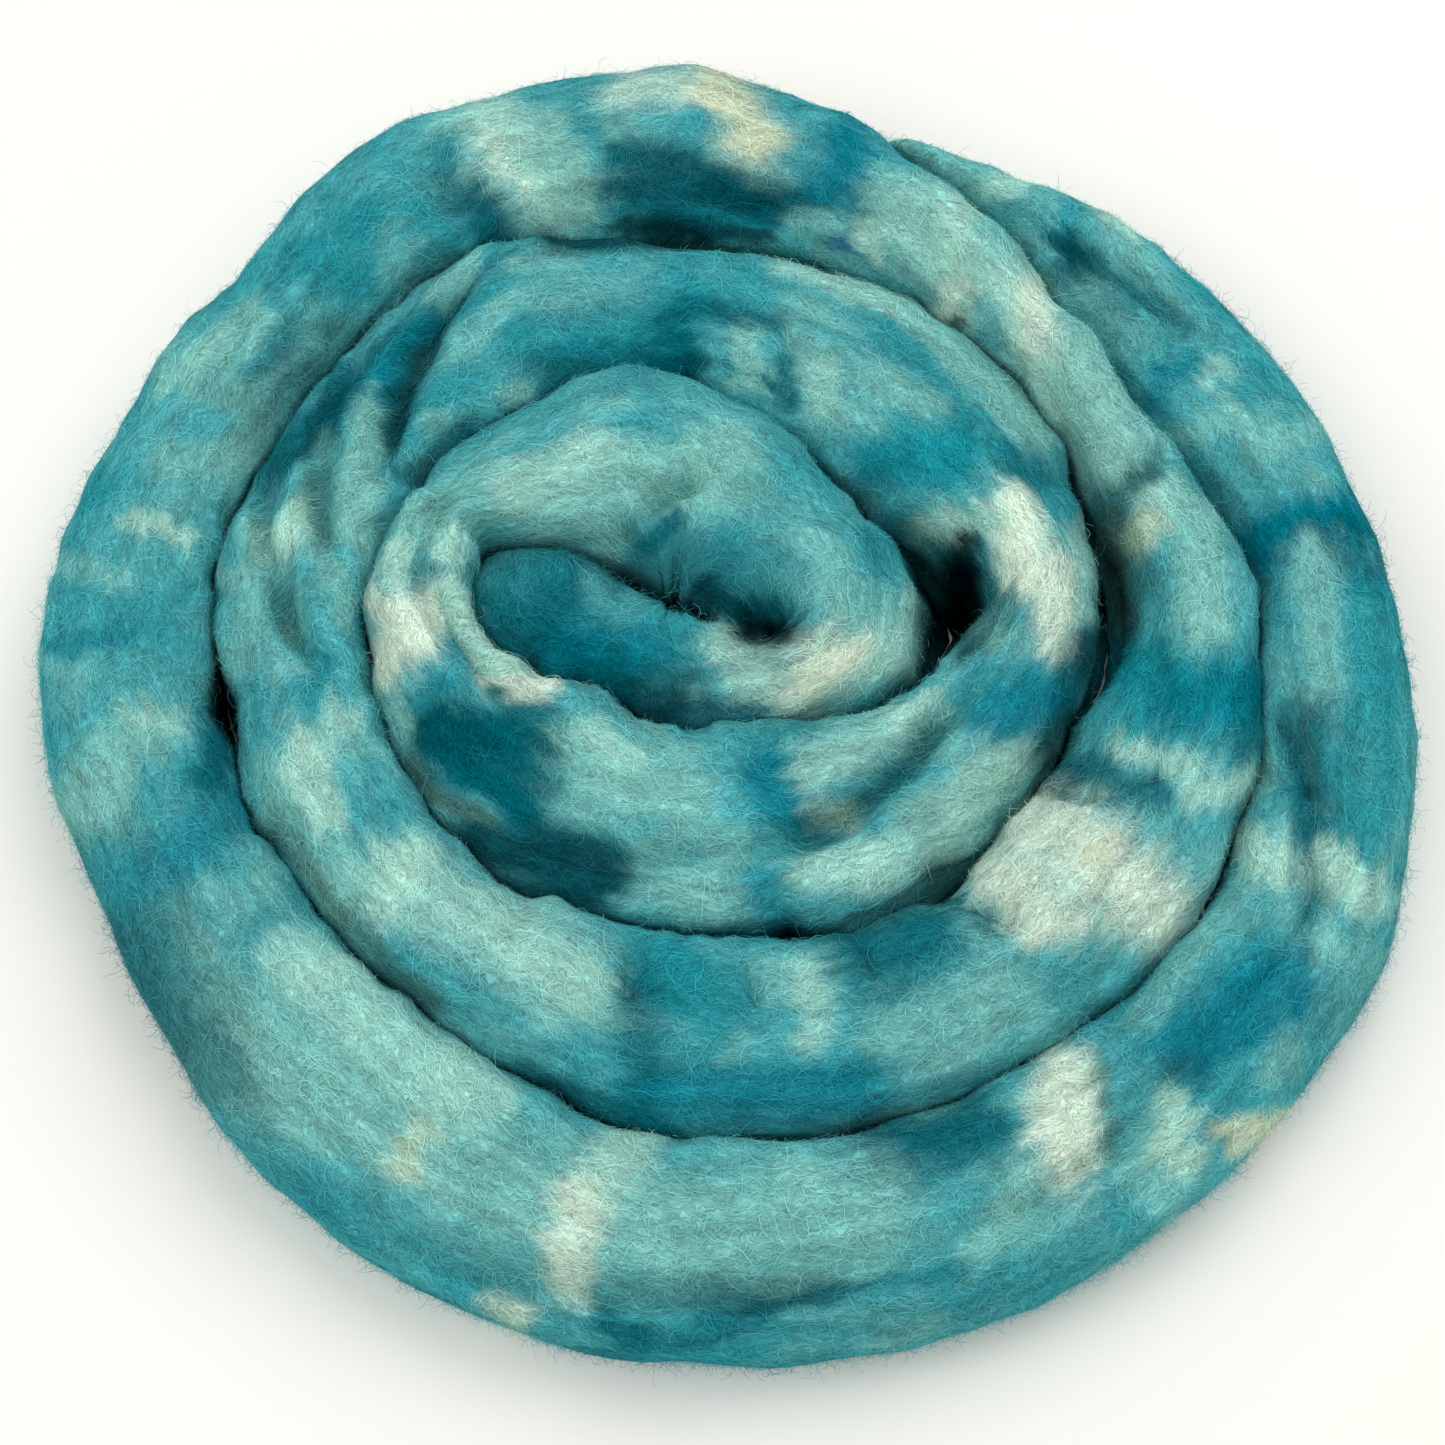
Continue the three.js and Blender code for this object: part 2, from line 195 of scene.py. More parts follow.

# Where each dye was laid on, and where shade is painted on: the black and umber rows, and some dark and deep
# rows along seams, creases, pits and the eye, are painted shade. Columns: from hour, from radius, to hour, to
# radius, half breadth, dye, strength. A place is where it shows from the camera on the level of the crowns.
PATCHES = (
    # Outer turn
    (0.75, 150, 1.15, 150, 8, "light", 0.5),
    (1.28, 159, 1.20, 149, 4, "mint", 0.7),
    (1.44, 160, 1.48, 146, 3, "mid", 0.7),
    (1.50, 150, 1.62, 144, 4, "deep", 0.9),
    (1.54, 146, 1.66, 141, 4, "dark", 0.5),
    (1.60, 146, 1.85, 146, 4, "deep", 0.6),
    (1.54, 164, 1.64, 164, 3, "mint", 0.8),
    (1.75, 160, 1.90, 158, 4, "light", 0.4),
    (1.80, 171, 2.08, 171, 4, "mid", 0.7),
    (1.62, 150, 2.02, 156, 2, "deep", 0.6),
    (1.75, 143, 2.00, 141, 6, "light", 0.3),
    (2.15, 152, 2.20, 135, 4, "blue", 0.7),
    (2.20, 160, 2.24, 154, 3, "mint", 0.5),
    (2.28, 172, 2.34, 162, 4, "mid", 0.5),
    (2.36, 156, 2.44, 138, 4, "light", 0.5),
    (2.50, 176, 2.50, 164, 4, "light", 0.5),
    (2.80, 175, 2.87, 150, 8, "blue", 1.0),
    (2.84, 168, 2.90, 154, 6, "deep", 0.5),
    (2.85, 174, 3.00, 181, 6, "deep", 0.7),
    (2.60, 146, 3.00, 151, 3, "dark", 0.5),
    (2.92, 166, 3.36, 168, 6, "light", 0.6),
    (3.10, 180, 3.70, 184, 10, "mid", 0.7),
    (3.44, 164, 3.80, 174, 6, "deep", 0.7),
    (3.42, 161, 3.74, 176, 2, "painted_shade_umber", 0.35),
    (3.88, 186, 3.92, 162, 6, "mint", 0.9),
    (3.88, 194, 3.86, 184, 5, "mint", 0.7),
    (4.08, 186, 4.40, 195, 5, "light", 0.6),
    (3.64, 168, 4.24, 191, 2, "deep", 0.5),
    (4.10, 202, 4.40, 204, 5, "mid", 0.4),
    (4.22, 184, 4.48, 178, 12, "blue", 0.9),
    (4.05, 163, 4.55, 163, 4, "light", 0.4),
    (4.50, 208, 4.60, 198, 4, "beige", 0.8),
    (4.72, 194, 4.66, 184, 5, "mint", 1.0),
    (4.90, 202, 4.90, 190, 4, "mid", 0.6),
    (4.95, 180, 4.82, 162, 7, "cream", 1.0),
    (4.86, 184, 4.72, 164, 2, "painted_shade_umber", 0.5),
    (5.04, 178, 5.28, 191, 4, "light", 0.6),
    (5.10, 163, 5.36, 160, 9, "deep", 0.9),
    (5.50, 172, 6.00, 170, 14, "light", 0.7),
    (5.20, 197, 6.00, 199, 6, "mid", 0.5),
    (5.30, 191, 6.00, 195, 2, "deep", 0.6),
    (6.08, 196, 6.14, 192, 5, "deep", 0.8),
    (6.34, 193, 6.40, 191, 3, "beige", 0.6),
    (6.55, 196, 6.80, 190, 4, "mid", 0.4),
    (6.30, 170, 7.30, 162, 16, "light", 0.7),
    (6.22, 163, 6.12, 152, 7, "mint", 0.8),
    (6.24, 183, 6.24, 164, 6, "cream", 0.75),
    (6.35, 179, 6.90, 178, 5, "mid", 0.4),
    (6.72, 168, 6.72, 157, 4, "beige", 0.5),
    (6.70, 152, 6.70, 141, 3, "mint", 0.3),
    (6.60, 145, 7.40, 138, 8, "mint", 0.6),
    (7.30, 140, 7.22, 132, 5, "mint", 0.5),
    (7.20, 170, 8.20, 158, 10, "painted_shade_umber", 0.35),
    (7.30, 171, 7.78, 162, 8, "deep", 0.6),
    (7.90, 160, 8.60, 158, 5, "mid", 0.5),
    (6.40, 188, 7.20, 178, 5, "mid", 0.4),
    (7.10, 158, 7.60, 154, 6, "light", 0.2),
    (7.56, 146, 7.54, 131, 4, "mid", 0.4),
    (7.92, 150, 7.96, 126, 8, "blue", 0.7),
    (8.22, 158, 8.44, 136, 8, "light", 0.7),
    (8.46, 136, 8.44, 131, 4, "mint", 0.5),
    (8.14, 128, 8.28, 121, 6, "deep", 0.9),
    (8.38, 119, 8.64, 118, 3, "painted_shade_black", 0.9),
    (8.78, 157, 8.80, 138, 3, "blue", 0.7),
    (9.06, 158, 9.04, 142, 4, "light", 0.5),
    (9.25, 143, 9.18, 126, 3, "mint", 0.8),
    (9.30, 158, 9.42, 150, 4, "mid", 0.6),
    (9.50, 136, 9.56, 119, 6, "light", 0.6),
    (9.84, 146, 10.18, 138, 6, "light", 0.8),
    (10.02, 128, 10.16, 126, 4, "deep", 0.6),
    (9.86, 122, 10.30, 118, 8, "painted_shade_umber", 0.4),
    (10.50, 143, 10.60, 124, 7, "mid", 0.8),
    (10.72, 142, 10.95, 128, 9, "mid", 0.8),
    (10.84, 130, 10.70, 117, 5, "light", 0.3),
    (11.16, 150, 11.14, 142, 4, "mid", 0.6),
    (11.16, 130, 11.15, 114, 7, "deep", 0.9),
    (11.35, 152, 11.46, 120, 10, "mint", 0.8),
    (11.30, 148, 11.36, 130, 3, "cream", 0.4),
    (11.56, 146, 11.58, 118, 6, "light", 0.8),
    (11.68, 156, 11.68, 144, 3, "mid", 0.4),
    (11.84, 157, 12.12, 153, 6, "cream", 0.5),
    (12.16, 156, 12.30, 141, 8, "beige", 0.9),
    (12.18, 135, 12.48, 128, 4, "mint", 0.5),
    # Deep dye, with painted shade darkening it to dark and black on the steep inner side and in the seam under
    # the top lobe
    (11.82, 133, 12.22, 126, 7, "deep", 0.9),
    (11.84, 120, 12.34, 118, 8, "deep", 0.9),
    (11.90, 112, 12.40, 109, 4, "dark", 0.8),
    (11.76, 110, 12.10, 106, 4, "painted_shade_black", 0.8),
    (12.34, 122, 12.58, 124, 7, "deep", 0.8),
    # Second turn
    (12.62, 146, 12.74, 126, 8, "blue", 0.9),
    (12.55, 116, 12.70, 118, 4, "light", 0.5),
    (12.78, 112, 12.82, 110, 3, "violet", 0.8),
    (12.95, 130, 13.40, 126, 12, "light", 0.7),
    (13.00, 128, 13.50, 124, 12, "mint", 0.4),
    (13.50, 124, 14.40, 121, 11, "mint", 0.7),
    (12.84, 120, 12.95, 112, 3, "mint", 0.9),
    (13.12, 141, 13.28, 124, 4, "mint", 0.7),
    (13.60, 131, 13.86, 119, 5, "cream", 0.8),
    (13.92, 118, 14.12, 112, 4, "mint", 0.8),
    (13.34, 120, 13.40, 108, 4, "cream", 0.7),
    (13.52, 118, 13.64, 112, 4, "mid", 0.6),
    (13.47, 111, 13.49, 109, 2, "painted_shade_black", 0.7),
    (13.90, 128, 14.40, 118, 9, "light", 0.6),
    (14.50, 130, 14.60, 117, 3, "deep", 0.7),
    (14.64, 130, 14.84, 121, 5, "mint", 0.7),
    (14.75, 138, 15.16, 138, 7, "light", 0.8),
    (14.66, 116, 15.24, 117, 3, "painted_shade_umber", 0.8),
    (14.60, 122, 15.00, 122, 5, "painted_shade_umber", 0.4),
    (14.75, 125, 14.80, 122, 4, "beige", 0.4),
    (15.46, 149, 15.42, 119, 11, "mid", 1.0),
    (15.40, 146, 15.50, 134, 8, "blue", 0.6),
    (15.34, 152, 15.62, 150, 5, "deep", 0.6),
    (15.74, 155, 15.82, 143, 4, "mint", 0.8),
    (15.72, 141, 15.76, 122, 4, "mint", 0.7),
    (15.88, 134, 15.96, 126, 5, "deep", 0.7),
    (15.88, 118, 15.98, 110, 5, "deep", 0.8),
    (16.24, 150, 16.20, 112, 11, "cream", 0.9),
    (16.50, 132, 16.50, 114, 7, "cream", 0.9),
    (16.06, 137, 16.36, 136, 2, "painted_shade_umber", 0.25),
    (16.14, 130, 16.24, 130, 3, "beige", 0.6),
    (16.66, 124, 16.72, 110, 2, "dark", 0.6),
    (16.80, 142, 17.16, 132, 9, "light", 0.5),
    (16.90, 115, 17.16, 113, 10, "deep", 0.9),
    (17.46, 128, 17.44, 112, 4, "mint", 0.6),
    (17.40, 144, 18.05, 138, 9, "blue", 0.8),
    (17.78, 126, 17.84, 116, 4, "light", 0.4),
    (17.84, 118, 18.04, 104, 9, "mid", 0.9),
    (18.00, 147, 18.50, 138, 5, "deep", 0.8),
    (18.08, 132, 18.12, 112, 6, "deep", 0.7),
    (18.40, 110, 19.36, 104, 10, "mint", 0.7),
    (18.90, 128, 19.90, 121, 4, "painted_shade_umber", 0.6),
    (19.25, 112, 19.30, 100, 5, "mint", 0.9),
    (19.55, 105, 19.52, 96, 4, "mid", 0.6),
    (19.40, 115, 20.10, 112, 5, "light", 0.5),
    (19.72, 108, 20.14, 103, 4, "mint", 0.8),
    (20.05, 104, 20.18, 92, 5, "mint", 0.6),
    (20.36, 102, 20.46, 92, 4, "mid", 0.7),
    (20.60, 112, 20.90, 106, 6, "light", 0.5),
    (21.02, 114, 21.10, 104, 4, "light", 0.6),
    (21.22, 103, 21.40, 98, 5, "mint", 1.0),
    (21.62, 109, 22.12, 106, 5, "deep", 0.8),
    (21.50, 111, 22.90, 111, 4, "deep", 0.7),
    (22.30, 98, 23.10, 110, 6, "mid", 0.8),
    (20.80, 84, 21.30, 93, 3, "light", 0.6),
    (21.36, 84, 22.10, 95, 5, "light", 0.8),
    (22.18, 93, 22.62, 104, 3, "blue", 0.8),
    (22.80, 108, 23.05, 112, 4, "light", 0.6),
    (23.10, 92, 23.90, 90, 6, "light", 0.4),
    (22.10, 84, 22.95, 84, 6, "mid", 0.6),
    (22.72, 70, 22.80, 68, 3, "light", 0.7),
    (22.20, 79, 22.30, 76, 3, "light", 0.5),
    (21.80, 76, 22.30, 70, 4, "dark", 0.7),
    (22.30, 67, 24.00, 64, 5, "deep", 0.8),
    (23.10, 72, 24.05, 70, 8, "deep", 0.9),
    (23.10, 83, 24.10, 84, 9, "mid", 0.7),
    (23.40, 108, 24.10, 108, 4, "dark", 0.9),
    (22.30, 104, 22.50, 107, 2, "deep", 0.5),
    # Third turn
    (24.00, 90, 24.50, 90, 8, "mid", 0.5),
    (24.06, 84, 24.62, 83, 4, "deep", 0.7),
    (24.02, 78, 24.10, 62, 5, "deep", 0.8),
    (24.46, 76, 24.64, 65, 4, "light", 0.8),
    (24.84, 73, 24.92, 62, 3, "deep", 0.7),
    (24.60, 103, 25.14, 103, 5, "mint", 0.6),
    (25.20, 106, 26.20, 105, 5, "light", 0.8),
    (25.30, 95, 26.30, 96, 6, "mid", 0.6),
    (25.06, 75, 25.24, 68, 5, "mint", 0.6),
    (25.36, 80, 25.76, 86, 5, "light", 0.6),
    (25.30, 65, 25.62, 70, 6, "light", 0.5),
    (26.10, 84, 25.95, 66, 9, "mid", 1.0),
    (26.24, 98, 26.40, 101, 5, "deep", 0.7),
    (26.50, 108, 26.60, 104, 4, "mid", 0.5),
    (26.55, 92, 26.95, 92, 7, "cream", 1.0),
    (26.90, 100, 27.32, 99, 5, "cream", 0.9),
    (26.54, 84, 26.60, 70, 5, "mint", 0.9),
    (26.75, 108, 27.16, 108, 4, "mint", 0.6),
    (27.12, 86, 27.40, 80, 5, "painted_shade_umber", 0.6),
    (27.36, 91, 27.42, 85, 3, "light", 0.5),
    # Painted shade at the pit between the third and inner turns, and along the third turn's outer edge
    (26.90, 76, 27.50, 75, 4, "dark", 0.8),
    (26.72, 76, 26.95, 74, 4, "painted_shade_black", 0.9),
    (27.30, 107, 27.96, 106, 4, "dark", 0.8),
    (27.62, 98, 27.86, 88, 8, "blue", 0.9),
    (27.60, 82, 27.80, 80, 4, "mid", 0.5),
    (27.94, 75, 28.12, 70, 4, "mint", 0.7),
    (28.08, 97, 28.90, 97, 8, "mint", 0.6),
    (28.05, 101, 28.60, 101, 5, "mint", 0.5),
    (28.94, 91, 29.20, 88, 6, "mint", 0.7),
    (29.46, 102, 29.50, 86, 5, "mid", 0.7),
    (29.40, 104, 29.76, 100, 4, "deep", 0.8),
    (29.74, 86, 30.12, 84, 6, "light", 0.5),
    (30.40, 84, 31.10, 87, 8, "dark", 0.95),
    (30.30, 76, 31.00, 77, 4, "deep", 0.8),
    (28.20, 72, 28.80, 62, 7, "mint", 0.6),
    (28.90, 77, 29.00, 74, 4, "beige", 0.5),
    (29.16, 72, 29.20, 58, 6, "blue", 0.9),
    (29.90, 60, 30.90, 52, 9, "light", 0.7),
    (30.30, 50, 30.90, 47, 4, "mint", 0.5),
    (31.00, 74, 31.72, 74, 6, "deep", 1.0),
    (31.82, 72, 31.50, 62, 6, "deep", 1.0),
    (31.85, 70, 31.10, 62, 8, "dark", 0.55),
    (31.30, 62, 31.62, 52, 7, "deep", 0.8),
    (31.20, 82, 31.70, 81, 2, "painted_shade_umber", 0.7),
    (31.90, 53, 31.64, 46, 4, "cream", 0.9),
    (31.98, 78, 32.12, 78, 3, "light", 0.6),
    (32.02, 72, 32.06, 64, 3, "blue", 0.7),
    (32.46, 75, 32.64, 65, 7, "cream", 1.0),
    (32.86, 73, 32.86, 65, 5, "cream", 0.9),
    (33.06, 71, 33.22, 70, 4, "mint", 0.9),
    (33.00, 63, 33.60, 65, 3, "painted_shade_umber", 0.4),
    (32.00, 50, 32.90, 57, 4, "mint", 0.9),
    (33.18, 57, 33.46, 60, 3, "mint", 0.9),
    (33.50, 66, 34.20, 58, 6, "light", 0.6),
    # Inner turn, and the end at the eye
    (34.20, 47, 34.95, 43, 9, "mint", 0.9),
    (34.30, 38, 36.60, 38, 12, "light", 0.75),
    (35.70, 50, 36.00, 45, 5, "mid", 0.6),
    (34.00, 20, 34.40, 24, 5, "light", 0.6),
    (36.10, 19, 34.90, 12, 3, "deep", 0.8),
    (37.20, 30, 38.10, 32, 8, "light", 0.4),
    (38.60, 56, 38.80, 54, 6, "mid", 0.6),
    (38.70, 65, 39.20, 69, 4, "painted_shade_black", 0.6),
    (38.20, 22, 39.20, 30, 10, "mid", 0.6),
    (39.14, 41, 39.46, 54, 9, "light", 0.5),
    (39.70, 22, 39.80, 32, 5, "deep", 0.8),
    (40.26, 23, 39.94, 34, 4, "painted_shade_black", 1.0),
    (40.50, 24, 40.44, 33, 4, "painted_shade_umber", 0.8),
    (40.66, 42, 39.76, 56, 9, "mint", 0.8),
    (40.34, 46, 39.90, 49, 8, "cream", 1.0),
    # Cream dye, brightened to ivory at its middle as a painted highlight on the lump
    (40.22, 46, 39.98, 48, 6, "ivory_painted_highlight", 1.0),
    (39.24, 64, 39.80, 66, 4, "mint", 0.5),
    (40.80, 22, 40.80, 32, 6, "mint", 0.7),
    (41.00, 42, 41.90, 37, 5, "deep", 0.8),
    (41.90, 12, 42.60, 24, 8, "mid", 0.6),
    # Dark dye with painted shade on the steep outer side of the inner turn
    (42.00, 34, 43.80, 38, 9, "dark", 0.9),
    (42.60, 20, 43.20, 24, 6, "blue", 0.7),
    (42.90, 32, 43.60, 26, 7, "dark", 0.5),
    (43.80, 31, 44.80, 31, 9, "blue", 0.8),
    (44.80, 14, 45.60, 20, 3, "dark", 0.5),
    (44.20, 46, 44.70, 48, 4, "deep", 0.7),
    (44.20, 42, 44.70, 30, 8, "deep", 0.6),
    (45.20, 44, 45.80, 28, 6, "deep", 0.6),
    (42.50, 36, 44.90, 48, 4, "deep", 0.7),
    # Painted shade along the dark recess at the eye
    (35.20, 10, 38.60, 10, 9, "deep", 0.55),
    (39.30, 9, 40.00, 22, 4, "dark", 0.9),
    (44.50, 5, 45.50, 12, 4, "deep", 0.7),
)
# The part of a patch's half breadth at which it starts to fade, and at which it has gone
PATCH_FADE = (0.35, 1.65)
# The clouds of light and mid in the teal ground, how strongly they show, and between which heights
GROUND_CLOUDS = ((1, 24, 15), (0.6, 9, 6))
GROUND_SHARE, GROUND_FADE = 0.5, (0.1, 1.0)
# The clouds that move the patches' edges; those that move them along the fibres, where the dye crept; and those
# that make single streaks paler or darker
PATCH_DRIFT = ((1.8, 17, 10), (1.3, 6, 4), (0.9, 3, 2.5))
CREEP = ((2.4, 20, 1.9),)
STREAKS = ((0.15, 30, 1.8), (0.10, 7, 4), (0.06, 3, 1.5))
# A patch or crease reaches only wool within this many hours, so that it stays on its own turn
HOURS_APART = 3
# The radii between which noise fades out towards the eye, where the rings are drawn together: that of the dye,
# of the fine fibre pattern, and of the locks and lumps
DYE_EYE, PATTERN_EYE, LOCKS_EYE = (6, 24), (4, 15), (13, 34)

# Where a dye's place was read from, in millimetres from the coil's eye, and the level it was read on
SEEN_FROM = (13, -348, 695)
SEEN_LEVEL = 34

# How much painted shade darkens wool deep between two turns, in a pit, and in a fold or crease, and between
# which heights or, for the last, depths it darkens
DEPTH_SHADE, DEPTH_SHADE_FROM = 0.86, (9, 29)
PIT_SHADE, PIT_SHADE_FROM = 0.97, (16, 32)
GROOVE_SHADE, GROOVE_SHADE_FROM = 0.55, (4, 12)
# The pits where the painted shade goes right through, and those that light reaches: hour, reach in hours. The
# last number is the share of the depth shade that is missing in a lit pit.
DARK_PITS = ((38.88, 0.36), (20.5, 0.12), (29.4, 0.1))
LIT_PITS = ((26.95, 0.5), (28.62, 0.16))
LIT_SHARE = 0.6
# The painted shade is tinted: light that has passed through teal wool has lost more of its red, less of its
# green and blue
SHADE_TINT = (1.3, 1.0, 0.97)

# Loose fibres: how many lie on the wool and how many stand off it, length from and to, width, brightness beside
# the wool under them, and steps. Real ones are 0.025 wide and far more; fewer, wider ones fill as much.
LYING_FIBRES, STANDING_FIBRES = 36800, 19500
LYING_LENGTH, STANDING_LENGTH = (6, 19), (2, 8)
LYING_WIDTH, STANDING_WIDTH = 0.14, 0.1
LYING_TONE, STANDING_TONE = (0.6, 1.85), (0.9, 1.3)
LYING_STEPS, STANDING_STEPS = 8, 5
# Sets that the lying ones are made in, and the seeds of the first and of the standing ones
LYING_SETS, LYING_SEED, STANDING_SEED = 4, 61, 69
# How much less a tone changes a pale colour than a deep one, and the least height of a fibre over the floor
PALE_SHARE = 0.88
LOWEST_FIBRE = 0.3
# Headings of lying fibres off the strand's run, in radians: the clouds that neighbours share, and the spread of
# single ones, of their curl, and of their wander at each step
SHARED_HEADING = ((0.6, 35, 18),)
HEADING_SPREAD, CURL_SPREAD, WANDER_SPREAD = 0.5, 0.3, 0.45
# How far their middle lifts off the wool, and times how much; how far their ends go under it; how uneven each
# step is; and the least size of a grid cell, so that no step leaps where rings are drawn together
LIFT, LIFT_UNEVEN = (0.1, 1.0), (0.4, 1.4)
ENDS_UNDER, STEP_UNEVEN = 0.05, 0.1
LEAST_ROW, LEAST_COLUMN = 0.3, 0.05
# How deep standing ones are rooted, how steeply they rise, how they curl, and how far each step turns them at
# random and back to the wool
ROOT_DEPTH = 0.3
STEEPNESS, STANDING_CURL = (0.15, 1.2), (0.1, 0.6)
STEP_TURN, BEND_BACK = 0.3, 0.2
# Where more standing ones grow, and times as many: the last points of a ring at the outer rim; the points at
# each edge of the top, across the seams; the first rings, where the end is frayed; and the first points of a
# ring from this hour on, across the eye
RIM_POINTS, RIM_WEIGHT = 9, 22
EDGE_POINTS, EDGE_WEIGHT = 7, 4
END_RINGS, END_WEIGHT = 2, 120
EYE_POINTS, EYE_FROM, EYE_WEIGHT = 26, 35.6, 6

# The fine pattern of the wool: the length of the waves that bend it and how far they do; two crossed layers of
# streaks, each with its turn off the strand's run in radians and its shift; and streaks in a millimetre, along
# and across. They are about 4.5 long and 0.4 wide, coarser than real fibres of 0.025, which would not show.
CRIMP_LENGTH, CRIMP_BEND = 2.5, 3.0
STREAK_LAYERS = ((0.45, 0), (-0.35, 37))
STREAKS_EACH_WAY = (0.22, 2.4)
# Its middle value, the values between which it goes from dark to bright, how bright those are beside the dye
# (painted light on the fibres and painted shade in the gaps between them), and how high and how strong its
# relief is
PATTERN_MIDDLE = 0.6
PATTERN_RANGE, PATTERN_SHADES = (0.42, 0.75), (0.52, 1.25)
RELIEF_HEIGHT, RELIEF_STRENGTH = 0.7, 0.6

# The lights: name, place in metres, size in metres, watts, colour
LIGHTS = (("main", (0.6, 0.7, 1.45), 1.5, 11.5, "#FFFFFF"),
          ("fill", (-0.9, -0.5, 1.2), 1.4, 6.5, "#FFFEFA"))
SKY_COLOUR, SKY_STRENGTH = "#FAF9F6", 0.78
FLOOR_COLOUR, FLOOR_SIZE = "#F0F0EC", 6

# The camera, at the photo's angle: elevation, distance and lens, aimed at a point above the coil
CAMERA_ELEVATION, CAMERA_DISTANCE, CAMERA_LENS = 65, 745, 72.35
CAMERA_AIM = (-0.12, -18.54, 20)


def linear(code):
    """An sRGB hex colour as linear red, green, blue and alpha."""
    channels = [int(code[i:i + 2], 16) / 255 for i in (1, 3, 5)]
    return [c / 12.92 if c <= 0.04045 else ((c + 0.055) / 1.055) ** 2.4 for c in channels] + [1.0]


def smooth_step(low, high, x):
    """0 below low, 1 above high, and an S-shaped rise between them."""
    f = np.clip((x - low) / (high - low), 0, 1)
    return f * f * (3 - 2 * f)


def bell(distance, reach):
    """A bell curve that falls to 1/e at the reach."""
    return np.exp(-(distance / reach) ** 2)


def cloud(u, v, seed):
    """Smooth random heights, about -1 to 1: 64 by 64 random values one unit apart, repeated, eased between."""
    grid = np.random.default_rng(seed).uniform(-1, 1, (64, 64))
    iu, iv = np.floor(u).astype(int), np.floor(v).astype(int)
    fu, fv = smooth_step(0, 1, u - iu), smooth_step(0, 1, v - iv)
    a, b = grid[iu % 64, iv % 64], grid[(iu + 1) % 64, iv % 64]
    c, d = grid[iu % 64, (iv + 1) % 64], grid[(iu + 1) % 64, (iv + 1) % 64]
    return (a + (b - a) * fu) * (1 - fv) + (c + (d - c) * fu) * fv


def clouds(along, around, rows, seed):
    """The sum of clouds of noise, one for each row."""
    return sum(height * cloud(along / length, around / breadth, seed + row)
               for row, (height, length, breadth) in enumerate(rows))


def smooth_line(step, values):
    """A cubic line through values at even steps from 0, whose slopes are harmonic means of the rises on
    either side, so that it never swings past a value."""
    values = np.array(values, float)
    rise = np.diff(values) / step
    before = np.concatenate([rise[:1], rise])
    after = np.concatenate([rise, rise[-1:]])
    same_way = before * after > 0
    slope = np.where(same_way, 2 * before * after / np.where(same_way, before + after, 1), 0)

    def line(place):
        along = np.clip(np.asarray(place, float) / step, 0, len(values) - 1.0001)
        i = along.astype(int)
        f = along - i
        ease = f * f * (3 - 2 * f)
        bend = f * (1 - f) * step * ((1 - f) * slope[i] - f * slope[i + 1])
        return values[i] + ease * (values[i + 1] - values[i]) + bend
    return line


seam_row = smooth_line(1, [START_RADIUS] + [r for row in SEAMS.values() for r in row])
crown_line = smooth_line(3, [START_CROWN] + [h for row in CROWNS.values() for h in row])
side_line = smooth_line(3, [START_SIDE] + [h for row in SIDES.values() for h in row])


def seam_radius(hour):
    """The seam row's radius at an hour, plus a bell for each swing, and a small wander of the soft edge."""
    reach = SEAM_WANDER * (OUTLINE_WANDER + (1 - OUTLINE_WANDER) * smooth_step(HOURS, HOURS + 1, hour))
    wander = cloud(5 * hour, 0 * hour, 17) + 0.5 * cloud(13 * hour, 0 * hour, 18)
    return seam_row(hour) + sum(by * bell(hour - at, width) for at, by, width in SWINGS) + reach * wander


def half_space(hour):
    """Half the clearance, stretched where the seam runs aslant so that it is even square to the seam."""
    climb = seam_radius(hour + LEAN_STEP) - seam_radius(hour - LEAN_STEP)
    return CLEARANCE / 2 * np.hypot(1, climb / (2 * LEAN_STEP * seam_radius(hour) * HOUR))


def pit_opening(hour):
    """A bell of opening for each pit."""
    return sum(opening * bell(hour - at, reach) for at, opening, reach, _ in PITS)


def side_height(hour):
    """The side line's height, less a bell of drop for each pit."""
    return side_line(hour) - sum(drop * bell(hour - at, reach) for at, _, reach, drop in PITS)


def relief(hour, radius):
    """Height added to the top: a trough with a bell section along each fold, which runs out at its ends, a
    round bell for each lump, and the sum of the long swells."""
    height = np.zeros(np.broadcast(hour, radius).shape)
    for start, end, radius_start, radius_end, depth, breadth in FOLDS:
        along = (hour - start) / (end - start)
        middle = radius_start + (radius_end - radius_start) * along
        ends = np.clip(np.minimum(along, 1 - along) / FOLD_RUN_OUT, 0, 1)
        height -= depth * ends * bell(radius - middle, breadth / 2)
    for at, centre, reach, high in LUMPS:
        height += high * bell(np.hypot(radius - centre, centre * HOUR * (hour - at)), reach)
    for high, length, bearing, phase in SWELLS:
        run = radius * np.cos(hour * HOUR - bearing)
        height += high * np.sin(2 * math.pi * run / length + phase)
    return height


def plan_place(hours, radii):
    """Distances right of and beyond the coil's eye."""
    return radii * np.sin(hours * HOUR), radii * np.cos(hours * HOUR)


def distance_to_line(x, y, start, end):
    """Distance in plan to the straight line between two places, each an hour and a radius."""
    ax, ay = plan_place(*start)
    bx, by = plan_place(*end)
    dx, dy = bx - ax, by - ay
    share = np.clip(((x - ax) * dx + (y - ay) * dy) / max(dx * dx + dy * dy, 1e-6), 0, 1)
    return np.hypot(x - ax - share * dx, y - ay - share * dy)


def same_turn(hours, start_hour, end_hour):
    """True where a point lies on the same turn as a place between two hours."""
    return np.abs(hours - (start_hour + end_hour) / 2) < HOURS_APART


